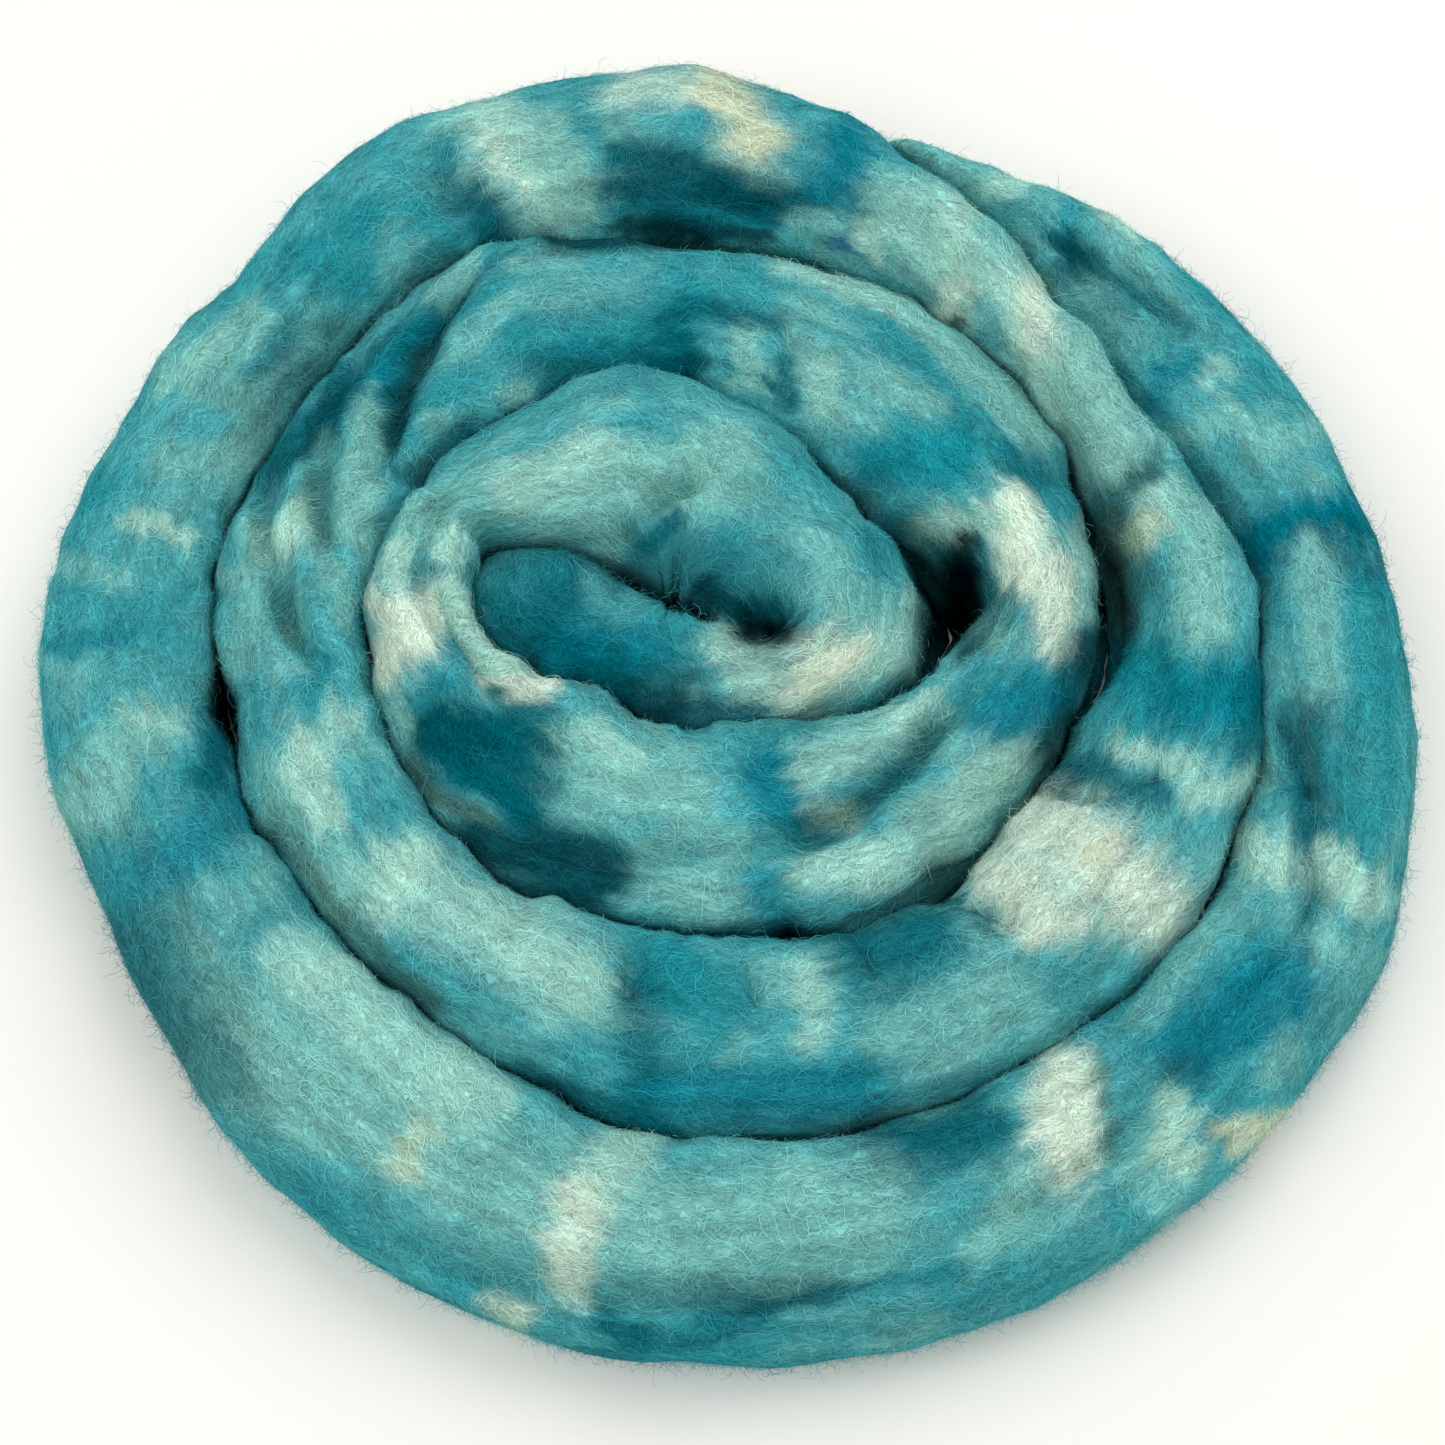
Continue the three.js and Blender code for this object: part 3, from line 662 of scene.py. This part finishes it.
def crease_relief(hours, radii):
    """A trough with a bell section round each crease line."""
    x, y = plan_place(hours, radii)
    height = np.zeros(x.shape)
    for start_hour, start_radius, end_hour, end_radius, depth, breadth in CREASES:
        far = distance_to_line(x, y, (start_hour, start_radius), (end_hour, end_radius))
        height -= depth * bell(far, breadth / 2) * same_turn(hours, start_hour, end_hour)
    return height


def end_width(hour):
    """The share of its width that the strand has near its ends: a quarter ellipse, from the tip's share up."""
    near = np.minimum(np.clip((hour - START_HOUR) / START_ROUNDING, 0, 1),
                      np.clip((END_HOUR - hour) / END_ROUNDING, 0, 1))
    return TIP_WIDTH + (1 - TIP_WIDTH) * np.sqrt(1 - (1 - near) ** 2)


def strand_surface():
    """The strand as a grid of points: one ring for each even step along it, with a superellipse arch over the
    top, a quarter ellipse down each side and a flat underside. The first and last rings are drawn together to
    a point. Gives hours, radii, heights, the depths of folds and creases, and the distances along and around
    the strand, all as arrays of rings by points."""
    fine = np.linspace(START_HOUR, END_HOUR, 4000)
    middle = (seam_radius(fine) + seam_radius(fine + HOURS)) / 2
    travel = np.concatenate([[0], np.cumsum(np.maximum(middle[1:], LEAST_TURN) * HOUR * np.diff(fine))])
    hour = np.interp(np.linspace(0, travel[-1], RINGS), travel, fine)[:, None]
    along = np.interp(hour, fine, travel)

    width = end_width(hour)
    shrink = TIP_HEIGHT + (1 - TIP_HEIGHT) * width
    outer = seam_radius(hour) - half_space(hour)
    inner = seam_radius(hour + HOURS) + half_space(hour + HOURS)
    middle, half = (outer + inner) / 2, (outer - inner) / 2 * width
    pit_in, pit_out = pit_opening(hour + HOURS), pit_opening(hour)
    side_in, side_out = side_height(hour + HOURS) * shrink, side_height(hour) * shrink
    crown = crown_line(hour) * shrink

    across = -np.cos(np.linspace(0, math.pi, TOP_POINTS))[None, :]
    outwards = (across + 1) / 2
    base = side_in + (side_out - side_in) * outwards
    arch = np.sqrt(1 - np.abs(across) ** CROWN_POWER)
    radius = middle + half * across + pit_in * (1 - outwards) - pit_out * outwards
    rise = (relief(hour, radius) + crease_relief(hour, radius)) * arch
    top = np.maximum(base + (crown - base) * arch + rise, base * LOWEST_SHARE)

    free = 1 - smooth_step(FREE_UNTIL, PRESSED_FROM, hour)
    reach = np.minimum(1, half * FOOT_WIDTH_SHARE / FREE_FOOT)

    def side(steps, outward, side_at, foot, pit):
        down = np.linspace(0, 1, steps + 1)[None, 1:]
        inset = foot * reach * (1 - np.sqrt(1 - down ** 2)) + pit * (1 - smooth_step(0, PIT_SHARE, down))
        return middle + outward * (half - inset), side_at * (1 - down)

    foot_out = PRESSED_FOOT + (FREE_FOOT - PRESSED_FOOT) * free
    outer_radius, outer_height = side(OUTER_POINTS, 1, side_out, foot_out, pit_out)
    inner_radius, inner_height = side(INNER_POINTS, -1, side_in, PRESSED_FOOT, pit_in)
    under = np.linspace(0, 1, UNDER_POINTS + 2)[None, 1:-1]
    under_radius = outer_radius[:, -1:] * (1 - under) + inner_radius[:, -1:] * under
    radii = np.hstack([radius, outer_radius, under_radius, inner_radius[:, ::-1]])
    heights = np.hstack([top, outer_height, 0 * under_radius, inner_height[:, ::-1]])
    for grid in (radii, heights):
        grid[[0, -1]] = grid[[0, -1]].mean(axis=1, keepdims=True)
    grooves = np.zeros(radii.shape)
    grooves[:, :TOP_POINTS] = np.maximum(-rise, 0)
    hours = np.broadcast_to(hour, radii.shape)
    step = np.hypot(np.diff(radii, axis=1), np.diff(heights, axis=1))
    around = np.hstack([0 * hour, np.cumsum(step, axis=1)])
    around = around - around[:, TOP_POINTS // 2:TOP_POINTS // 2 + 1]
    return hours, radii, heights, grooves, np.broadcast_to(along, radii.shape), around


def to_plan(hours, radii, heights):
    """Points in space from hours, radii and heights about the coil's eye."""
    return np.stack([*plan_place(hours, radii), heights], -1)


def grid_normals(points):
    """Outward normals of a grid of points: the cross product of its two central differences."""
    along = np.gradient(points, axis=0)
    around = (np.roll(points, -1, axis=1) - np.roll(points, 1, axis=1)) / 2
    normal = np.cross(along, around)
    return normal / np.maximum(np.linalg.norm(normal, axis=-1, keepdims=True), 1e-9)


def dye_colour(hours, radii, heights, along, around):
    """Linear colour of the dyed wool: a ground of teal clouded with light and mid, then each patch laid on
    round its line with a soft edge. The black and umber patches, and some dark and deep ones, are painted
    shade.
    Noise moves the patches, so that their edges wander and creep along the fibres."""
    palette = {name: np.array(linear(code)[:3]) for name, code in DYES.items()}
    x, y = plan_place(hours, radii)
    rise = (SEEN_LEVEL - heights) / (SEEN_FROM[2] - heights)
    x = x + (SEEN_FROM[0] - x) * rise
    y = y + (SEEN_FROM[1] - y) * rise
    clear_of_eye = smooth_step(*DYE_EYE, radii)
    crept = clouds(along, around, CREEP, 35)
    x = x + clear_of_eye * (clouds(along, around, PATCH_DRIFT, 31) + crept * np.cos(hours * HOUR))
    y = y + clear_of_eye * (clouds(along, around, PATCH_DRIFT, 41) - crept * np.sin(hours * HOUR))
    colour = np.broadcast_to(palette["teal"], hours.shape + (3,)).copy()

    def lay(name, share):
        nonlocal colour
        colour = colour + (palette[name] - colour) * share[..., None]

    ground = clear_of_eye * clouds(along, around, GROUND_CLOUDS, 15)
    lay("light", GROUND_SHARE * smooth_step(*GROUND_FADE, ground))
    lay("mid", GROUND_SHARE * smooth_step(*GROUND_FADE, -ground))
    for start_hour, start_radius, end_hour, end_radius, breadth, name, strength in PATCHES:
        far = distance_to_line(x, y, (start_hour, start_radius), (end_hour, end_radius)) / breadth
        lay(name, strength * (1 - smooth_step(*PATCH_FADE, far)) * same_turn(hours, start_hour, end_hour))
    return colour * (1 + clouds(along, around, STREAKS, 51) * clear_of_eye)[..., None]


def mesh_object(name, points, faces, colours, uv=None):
    """A mesh piece in metres, with smooth faces, a colour on each point (the dye with its painted shade), with
    or without a fourth value, and, where given, a UV on each face corner."""
    mesh = bpy.data.meshes.new(name)
    mesh.vertices.add(len(points))
    mesh.vertices.foreach_set("co", (points * METRES).astype(np.float32).ravel())
    corners = faces.shape[1]
    mesh.loops.add(faces.size)
    mesh.loops.foreach_set("vertex_index", faces.astype(np.int32).ravel())
    mesh.polygons.add(len(faces))
    mesh.polygons.foreach_set("loop_start", np.arange(0, faces.size, corners, dtype=np.int32))
    mesh.polygons.foreach_set("use_smooth", np.ones(len(faces), bool))
    dye = mesh.color_attributes.new("dye", "FLOAT_COLOR", "POINT")
    if colours.shape[1] == 3:
        colours = np.hstack([colours, np.ones((len(colours), 1))])
    dye.data.foreach_set("color", colours.astype(np.float32).ravel())
    if uv is not None:
        layer = mesh.uv_layers.new(name="strand")
        layer.data.foreach_set("uv", uv.astype(np.float32).ravel())
    mesh.update(calc_edges=True)
    mesh.validate()
    piece = bpy.data.objects.new(name, mesh)
    bpy.context.scene.collection.objects.link(piece)
    return piece


def node(material, kind, inputs=(), **settings):
    """Adds a node with its settings; each input is (socket, value or the socket that feeds it)."""
    made = material.node_tree.nodes.new(kind)
    for key, value in settings.items():
        setattr(made, key, value)
    for socket, value in inputs:
        if isinstance(value, bpy.types.NodeSocket):
            material.node_tree.links.new(value, made.inputs[socket])
        else:
            made.inputs[socket].default_value = value
    return made


def new_material(name):
    """An empty node material and its output node."""
    material = bpy.data.materials.new(name)
    material.use_nodes = True
    material.node_tree.nodes.clear()
    return material, node(material, "ShaderNodeOutputMaterial")


def matt_wool(material, output, colour, inputs=()):
    """The wool's surface: a Principled shader that scatters all its light and reflects none."""
    wool = node(material, "ShaderNodeBsdfPrincipled",
                [("Base Color", colour), ("Roughness", 1.0), ("Specular IOR Level", 0.0), *inputs])
    material.node_tree.links.new(wool.outputs[0], output.inputs["Surface"])


def wool_body_material():
    """Combed wool top: matt, with fine crimped fibres that catch the light over darker gaps: the pattern paints
    that light and shade into the colour, and bumps the surface.
    """
    material, output = new_material("combed wool body")
    dye = node(material, "ShaderNodeVertexColor", layer_name="dye")
    place = node(material, "ShaderNodeUVMap", uv_map="strand")
    # The UV map is in metres, so this scale gives one unit a millimetre
    flat = node(material, "ShaderNodeMapping",
                [("Vector", place.outputs["UV"]), ("Scale", (1 / METRES,) * 3)])
    crimp = node(material, "ShaderNodeTexNoise",
                 [("Vector", flat.outputs[0]), ("Scale", 1 / CRIMP_LENGTH), ("Detail", 1.0)],
                 noise_dimensions="2D")
    bent = node(material, "ShaderNodeVectorMath",
                [(0, crimp.outputs["Color"]), (1, (CRIMP_BEND, CRIMP_BEND, 0)), (2, flat.outputs[0])],
                operation="MULTIPLY_ADD")
    layers = []
    for turn, shift in STREAK_LAYERS:
        turned = node(material, "ShaderNodeMapping",
                      [("Vector", bent.outputs[0]), ("Rotation", (0, 0, turn)), ("Location", (shift, shift, 0)),
                       ("Scale", (*STREAKS_EACH_WAY, 1))])
        streaks = node(material, "ShaderNodeTexNoise",
                       [("Vector", turned.outputs[0]), ("Scale", 1.0), ("Detail", 2.0), ("Roughness", 0.6)],
                       noise_dimensions="2D")
        layers.append(streaks.outputs["Fac"])
    crossed = node(material, "ShaderNodeMath", [(0, layers[0]), (1, layers[1])], operation="MAXIMUM")
    above = node(material, "ShaderNodeMath", [(0, crossed.outputs[0]), (1, PATTERN_MIDDLE)],
                 operation="SUBTRACT")
    # The colour attribute's fourth value flattens the pattern to its middle value at the eye; its colour is the
    # dye with its painted shade
    tangle = node(material, "ShaderNodeMath",
                  [(0, above.outputs[0]), (1, dye.outputs["Alpha"]), (2, PATTERN_MIDDLE)],
                  operation="MULTIPLY_ADD")
    # The pattern scales the colour: painted light on the fibres and painted shade in the gaps between them
    shade = node(material, "ShaderNodeMapRange",
                 [("Value", tangle.outputs[0]), ("From Min", PATTERN_RANGE[0]), ("From Max", PATTERN_RANGE[1]),
                  ("To Min", PATTERN_SHADES[0]), ("To Max", PATTERN_SHADES[1])])
    colour = node(material, "ShaderNodeVectorMath",
                  [(0, dye.outputs["Color"]), ("Scale", shade.outputs[0])], operation="SCALE")
    bump = node(material, "ShaderNodeBump",
                [("Height", tangle.outputs[0]), ("Strength", RELIEF_STRENGTH),
                 ("Distance", RELIEF_HEIGHT * METRES)])
    matt_wool(material, output, colour.outputs[0], [("Normal", bump.outputs[0])])
    return material


def wool_fibre_material():
    """Single wool fibres on the surface: matt, each as light or dark as its own colour: the dye and painted
    shade of the wool under it, times a tone of its own.
    """
    material, output = new_material("combed wool fibres")
    dye = node(material, "ShaderNodeVertexColor", layer_name="dye")
    matt_wool(material, output, dye.outputs["Color"])
    return material


def painted_light_share(hours, heights, grooves):
    """The painted shade, multiplied into the wool's colour: the share of red, green and blue light taken to
    reach wool low down between two turns, in a pit or in a fold, through the fibres above it: the product of a
    shade for each, raised to the tint's powers."""
    pressed = smooth_step(FREE_UNTIL, PRESSED_FROM, hours)
    pressed[:, :TOP_POINTS // 2] = 1
    pressed[:, TOP_POINTS + OUTER_POINTS:] = 1
    dark, lit = (np.minimum(sum(bell(hours - at, reach) + bell(hours + HOURS - at, reach)
                                for at, reach in pits), 1) for pits in (DARK_PITS, LIT_PITS))
    shaded = pressed * (1 - LIT_SHARE * lit)
    light = ((1 - DEPTH_SHADE * shaded * (1 - smooth_step(*DEPTH_SHADE_FROM, heights)))
             * (1 - PIT_SHADE * dark * pressed * (1 - smooth_step(*PIT_SHADE_FROM, heights)))
             * (1 - GROOVE_SHADE * smooth_step(*GROOVE_SHADE_FROM, grooves)))
    return light[..., None] ** np.array(SHADE_TINT)


def build_strand(material):
    """The strand's skin: the grid of its surface, pushed out along its normals by soft locks of fibre, dyed and
    given painted shade. Gives back the grid, its normals, its colours, the colours of fibres that stand out of
    it (with the painted shade softened to its square root), and its places."""
    hours, radii, heights, grooves, along, around = strand_surface()
    points = to_plan(hours, radii, heights)
    points[..., :2] -= (points[..., :2].min((0, 1)) + points[..., :2].max((0, 1))) / 2
    normals = grid_normals(points)
    lumps = clouds(along, around, SOFT_LUMPS, 23)
    lumps = lumps * (SIDE_LUMPS + (1 - SIDE_LUMPS) * smooth_step(0, LEVEL_FROM, normals[..., 2]))
    above = smooth_step(*LUMPS_ABOVE, points[..., 2]) * smooth_step(*LOCKS_EYE, radii)
    points = points + normals * ((clouds(along, around, LOCKS, 21) + lumps) * above)[..., None]
    dye = dye_colour(hours, radii, heights, along, around)
    light = painted_light_share(hours, heights, grooves)
    # Painted shade: the dye is darkened deep in seams, pits and folds
    colours = dye * light

    index = np.arange(hours.size).reshape(hours.shape)
    following = np.roll(index, -1, axis=1)
    quads = np.stack([index[:-1], index[1:], following[1:], following[:-1]], -1).reshape(-1, 4)
    closing = np.hypot(radii[:, -1:] - radii[:, :1], heights[:, -1:] - heights[:, :1])
    reach = np.hstack([around, around[:, -1:] + closing])
    strip = np.hstack([along, along[:, :1]])
    uv = np.stack([strip, reach], -1) * METRES
    corners = np.stack([uv[:-1, :-1], uv[1:, :-1], uv[1:, 1:], uv[:-1, 1:]], 2).reshape(-1, 2)
    # The colour's fourth value says how much of the fine fibre pattern shows: less towards the eye. Its first
    # three are the dye times the painted shade.
    pattern = smooth_step(*PATTERN_EYE, radii)[..., None]
    dyed = np.concatenate([colours, pattern], axis=-1).reshape(-1, 4)
    piece = mesh_object("combed_top_wool", points.reshape(-1, 3), quads, dyed, corners)
    piece.data.materials.append(material)
    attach(piece, "root")
    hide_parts("combed_top")
    # The standing fibres take the dye with its painted shade softened to the square root
    return points, normals, colours, dye * np.sqrt(light), hours, along, around


def sample(grid, i, j):
    """Values of a grid at fractional row and column places, blended from the four around each."""
    low_i = np.clip(np.floor(i).astype(int), 0, grid.shape[0] - 2)
    low_j = np.clip(np.floor(j).astype(int), 0, grid.shape[1] - 2)
    fi, fj = np.clip(i - low_i, 0, 1)[:, None], np.clip(j - low_j, 0, 1)[:, None]
    near = grid[low_i, low_j] * (1 - fj) + grid[low_i, low_j + 1] * fj
    far = grid[low_i + 1, low_j] * (1 - fj) + grid[low_i + 1, low_j + 1] * fj
    return near * (1 - fi) + far * fi


def unit(vectors):
    """Vectors scaled to length 1."""
    return vectors / np.maximum(np.linalg.norm(vectors, axis=-1, keepdims=True), 1e-9)


def fibre_roots(points, hours, count, rng, standing=False):
    """Random places on the top of the strand and on its free outer side, by area, as fractional rows and
    columns of its grid. Standing fibres grow more at the rim, the edges, the outer end and the eye."""
    last = TOP_POINTS + OUTER_POINTS - 2
    across = np.linalg.norm(np.diff(points[:, :last + 1], axis=1), axis=-1)[:-1]
    ahead = np.linalg.norm(np.diff(points[:, :last], axis=0), axis=-1)
    area = across * ahead
    free = hours[:-1, :last] < FREE_UNTIL
    area[:, TOP_POINTS:] *= free[:, TOP_POINTS:]
    if standing:
        rim, edge = slice(TOP_POINTS - RIM_POINTS, None), slice(TOP_POINTS - EDGE_POINTS, TOP_POINTS)
        area[:, rim] *= np.where(free, RIM_WEIGHT, 1)[:, rim]
        area[:, :EDGE_POINTS] *= EDGE_WEIGHT
        area[:, edge] *= np.where(free, 1, EDGE_WEIGHT)[:, edge]
        area[:END_RINGS] *= END_WEIGHT
        area[:, :EYE_POINTS] *= np.where(hours[:-1, :EYE_POINTS] > EYE_FROM, EYE_WEIGHT, 1)
    cell = rng.choice(area.size, count, p=(area / area.sum()).ravel())
    i, j = np.divmod(cell, last)
    return i + rng.random(count), j + rng.random(count)


def toned(colours, tones):
    """Colours made brighter or darker by their tone, pale ones less so than deep ones."""
    return colours * (1 + (tones - 1) * (1 - PALE_SHARE * colours.max(-1, keepdims=True)))


def lying_fibres(points, normals, colours, along, around, hours, count, seed):
    """Paths of fibres that lie on the strand. Each has a heading of its own and follows the surface while it
    curls and wanders; its middle is lifted off by a parabola and its ends go under."""
    rng = np.random.default_rng(seed)
    i, j = fibre_roots(points, hours, count, rng)
    flow = sample(np.stack([along, around], -1), i, j)
    shared = clouds(flow[:, 0], flow[:, 1], SHARED_HEADING, 51)
    heading = shared + rng.normal(0, HEADING_SPREAD, count)
    length = rng.uniform(*LYING_LENGTH, count)
    lift = rng.uniform(*LIFT, count) * rng.uniform(*LIFT_UNEVEN, count)
    curl = rng.normal(0, CURL_SPREAD, count)
    row_size = np.linalg.norm(np.gradient(points, axis=0), axis=-1)[..., None]
    column_size = np.linalg.norm(np.gradient(points, axis=1), axis=-1)[..., None]
    paths = np.empty((count, LYING_STEPS + 1, 3))
    facing, tones = np.empty_like(paths), np.empty_like(paths)
    step = length / LYING_STEPS
    for k in range(LYING_STEPS + 1):
        normal = sample(normals, i, j)
        arch = 4 * (k / LYING_STEPS) * (1 - k / LYING_STEPS)
        off = (lift * arch - ENDS_UNDER + STEP_UNEVEN * rng.standard_normal(count))[:, None]
        paths[:, k] = sample(points, i, j) + normal * off
        paths[:, k, 2] = np.maximum(paths[:, k, 2], LOWEST_FIBRE)
        facing[:, k] = normal
        tones[:, k] = sample(colours, i, j)
        row = np.maximum(sample(row_size, i, j)[:, 0], LEAST_ROW)
        i = np.clip(i + step * np.cos(heading) / row, 0, len(points) - 1)
        column = np.maximum(sample(column_size, i, j)[:, 0], LEAST_COLUMN)
        j = np.clip(j + step * np.sin(heading) / column, 0, TOP_POINTS + OUTER_POINTS - 1)
        heading = heading + curl + rng.normal(0, WANDER_SPREAD, count)
    return paths, facing, toned(tones, rng.uniform(*LYING_TONE, (count, 1, 1)))


def standing_fibres(points, normals, colours, hours, count, seed):
    """Paths of fibres that stand off the strand, more short ones than long: each leaves it at a slant, curls
    about an axis of its own, and bends back towards the wool."""
    rng = np.random.default_rng(seed)
    i, j = fibre_roots(points, hours, count, rng, standing=True)
    place, normal = sample(points, i, j), unit(sample(normals, i, j))
    drift = unit(rng.standard_normal((count, 3)))
    level = drift - normal * (drift * normal).sum(-1, keepdims=True)
    run = unit(level + normal * rng.uniform(*STEEPNESS, (count, 1)))
    curl = unit(rng.standard_normal((count, 3))) * rng.uniform(*STANDING_CURL, (count, 1))
    shortest, longest = STANDING_LENGTH
    step = ((shortest + (longest - shortest) * rng.random(count) ** 2) / STANDING_STEPS)[:, None]
    paths = np.empty((count, STANDING_STEPS + 1, 3))
    facing = np.empty_like(paths)
    place = place - normal * ROOT_DEPTH
    for k in range(STANDING_STEPS + 1):
        paths[:, k] = place
        facing[:, k] = unit(np.cross(run, drift))
        place = place + run * step
        turn = STEP_TURN * rng.standard_normal((count, 3))
        run = unit(run + np.cross(curl, run) + turn - BEND_BACK * normal)
        place[:, 2] = np.maximum(place[:, 2], LOWEST_FIBRE)
    tones = toned(sample(colours, i, j), rng.uniform(*STANDING_TONE, (count, 1)))
    return paths, facing, np.repeat(tones[:, None], STANDING_STEPS + 1, axis=1)


def fibre_mesh(name, paths, facing, tones, width, material):
    """Flat ribbons along the paths: two points at each step, side by side across the path, drawn to a point
    at both ends."""
    count, steps = paths.shape[:2]
    run = np.gradient(paths, axis=1)
    side = unit(np.cross(run, facing))
    taper = np.sqrt(np.clip(4 * np.linspace(0.02, 0.98, steps) * np.linspace(0.98, 0.02, steps), 0, 1))
    half = side * (width / 2 * taper)[None, :, None]
    corners = np.stack([paths - half, paths + half], 2).reshape(-1, 3)
    first = (np.arange(count)[:, None] * steps + np.arange(steps - 1)[None, :]).ravel() * 2
    quads = np.stack([first, first + 1, first + 3, first + 2], -1)
    shades = np.repeat(tones.reshape(-1, 3), 2, axis=0)
    piece = mesh_object(name, corners, quads, shades)
    piece.data.materials.append(material)
    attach(piece, "root")


def build_fibres(points, normals, colours, fringe_colours, hours, along, around):
    """Sets of lying fibres, coloured as the wool that each crosses with its painted shade, and one of standing
    ones, coloured as the wool at their roots with that painted shade softened."""
    material = wool_fibre_material()
    for part in range(LYING_SETS):
        paths, facing, tones = lying_fibres(points, normals, colours, along, around, hours,
                                            LYING_FIBRES // LYING_SETS, LYING_SEED + part)
        fibre_mesh(f"combed_top_fibres_{part + 1}", paths, facing, tones, LYING_WIDTH, material)
    paths, facing, tones = standing_fibres(points, normals, fringe_colours, hours, STANDING_FIBRES,
                                           STANDING_SEED)
    fibre_mesh("combed_top_flyaway_fibres", paths, facing, tones, STANDING_WIDTH, material)


def floor_and_lights():
    """A plain pale floor, a large soft light from the upper right, a weaker one opposite, and a pale sky."""
    bpy.ops.mesh.primitive_plane_add(size=FLOOR_SIZE, location=(0, 0, 0))
    floor = bpy.context.object
    floor.name = "floor"
    paint, output = new_material("pale paper")
    sheet = node(paint, "ShaderNodeBsdfPrincipled", [("Base Color", linear(FLOOR_COLOUR)), ("Roughness", 0.9)])
    paint.node_tree.links.new(sheet.outputs[0], output.inputs["Surface"])
    floor.data.materials.append(paint)
    for name, place, size, power, tint in LIGHTS:
        lamp = bpy.data.lights.new(name, "AREA")
        lamp.shape, lamp.size, lamp.energy, lamp.color = "DISK", size, power, linear(tint)[:3]
        lit = bpy.data.objects.new(name, lamp)
        lit.location = x, y, z = place
        lit.rotation_euler = (math.acos(z / math.hypot(x, y, z)), 0, math.atan2(x, -y))
        bpy.context.scene.collection.objects.link(lit)
    world = bpy.data.worlds.new("sky")
    bpy.context.scene.world = world
    world.use_nodes = True
    sky = world.node_tree.nodes["Background"]
    sky.inputs["Color"].default_value = linear(SKY_COLOUR)
    sky.inputs["Strength"].default_value = SKY_STRENGTH
    bpy.context.scene.view_settings.view_transform = "Standard"


def place_camera():
    """The camera, on the six o'clock side, aimed at a point above the coil."""
    lens = bpy.data.cameras.new("camera")
    lens.lens = CAMERA_LENS
    camera = bpy.data.objects.new("camera", lens)
    tilt = math.radians(CAMERA_ELEVATION)
    x, y, z = CAMERA_AIM
    back, up = CAMERA_DISTANCE * math.cos(tilt), CAMERA_DISTANCE * math.sin(tilt)
    camera.location = np.array([x, y - back, z + up]) * METRES
    camera.rotation_euler = (math.pi / 2 - tilt, 0, 0)
    bpy.context.scene.collection.objects.link(camera)
    bpy.context.scene.camera = camera


place_camera()
floor_and_lights()
build_fibres(*build_strand(wool_body_material()))
